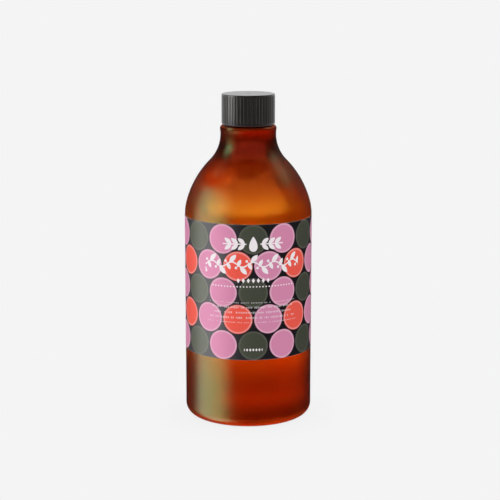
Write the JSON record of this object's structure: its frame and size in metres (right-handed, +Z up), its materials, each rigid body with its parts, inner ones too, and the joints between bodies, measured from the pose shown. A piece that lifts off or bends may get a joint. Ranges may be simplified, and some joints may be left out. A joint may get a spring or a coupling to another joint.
{
  "type": "screw cap oil bottle",
  "caption": "Tall round amber plastic bottle of oil with an S-shaped shoulder, wrap-round dotted label and ribbed black screw cap.",
  "frame": {"origin": "centre of the base, on the surface that the bottle stands on", "axes": "+Z up along the bottle's axis, the front of the label faces -Y, +X to the right seen from the front"},
  "size_m": [0.0882, 0.0882, 0.2259],
  "materials": {
    "amber_plastic": "satin see-through amber plastic",
    "oil": "clear golden liquid",
    "label_film": "printed film, semi-gloss",
    "insert_plastic": "milky soft plastic",
    "liner_foam": "fine closed foam",
    "cap_plastic": "black moulded plastic, satin"
  },
  "bodies": {
    "bottle": {"bottle": "amber_plastic", "oil_fill": "oil", "label": "label_film", "pour_insert": "insert_plastic"},
    "liner": {"cap_liner": "liner_foam"},
    "cap": {"screw_cap": "cap_plastic"}
  },
  "joints": [
    {"name": "cap_lift", "type": "slide", "parent": "bottle", "child": "liner", "axis": [0, 0, 1], "range_m": [0, 0.0254]},
    {"name": "cap_turn", "type": "hinge", "parent": "liner", "child": "cap", "pos_m": [0, 0, 0.215], "axis": [0, 0, 1], "range_deg": [0, 2160]}
  ],
  "couplings": [
    {"joint": "cap_lift", "follows": "cap_turn", "m_per_rad": 0.0006737}
  ]
}
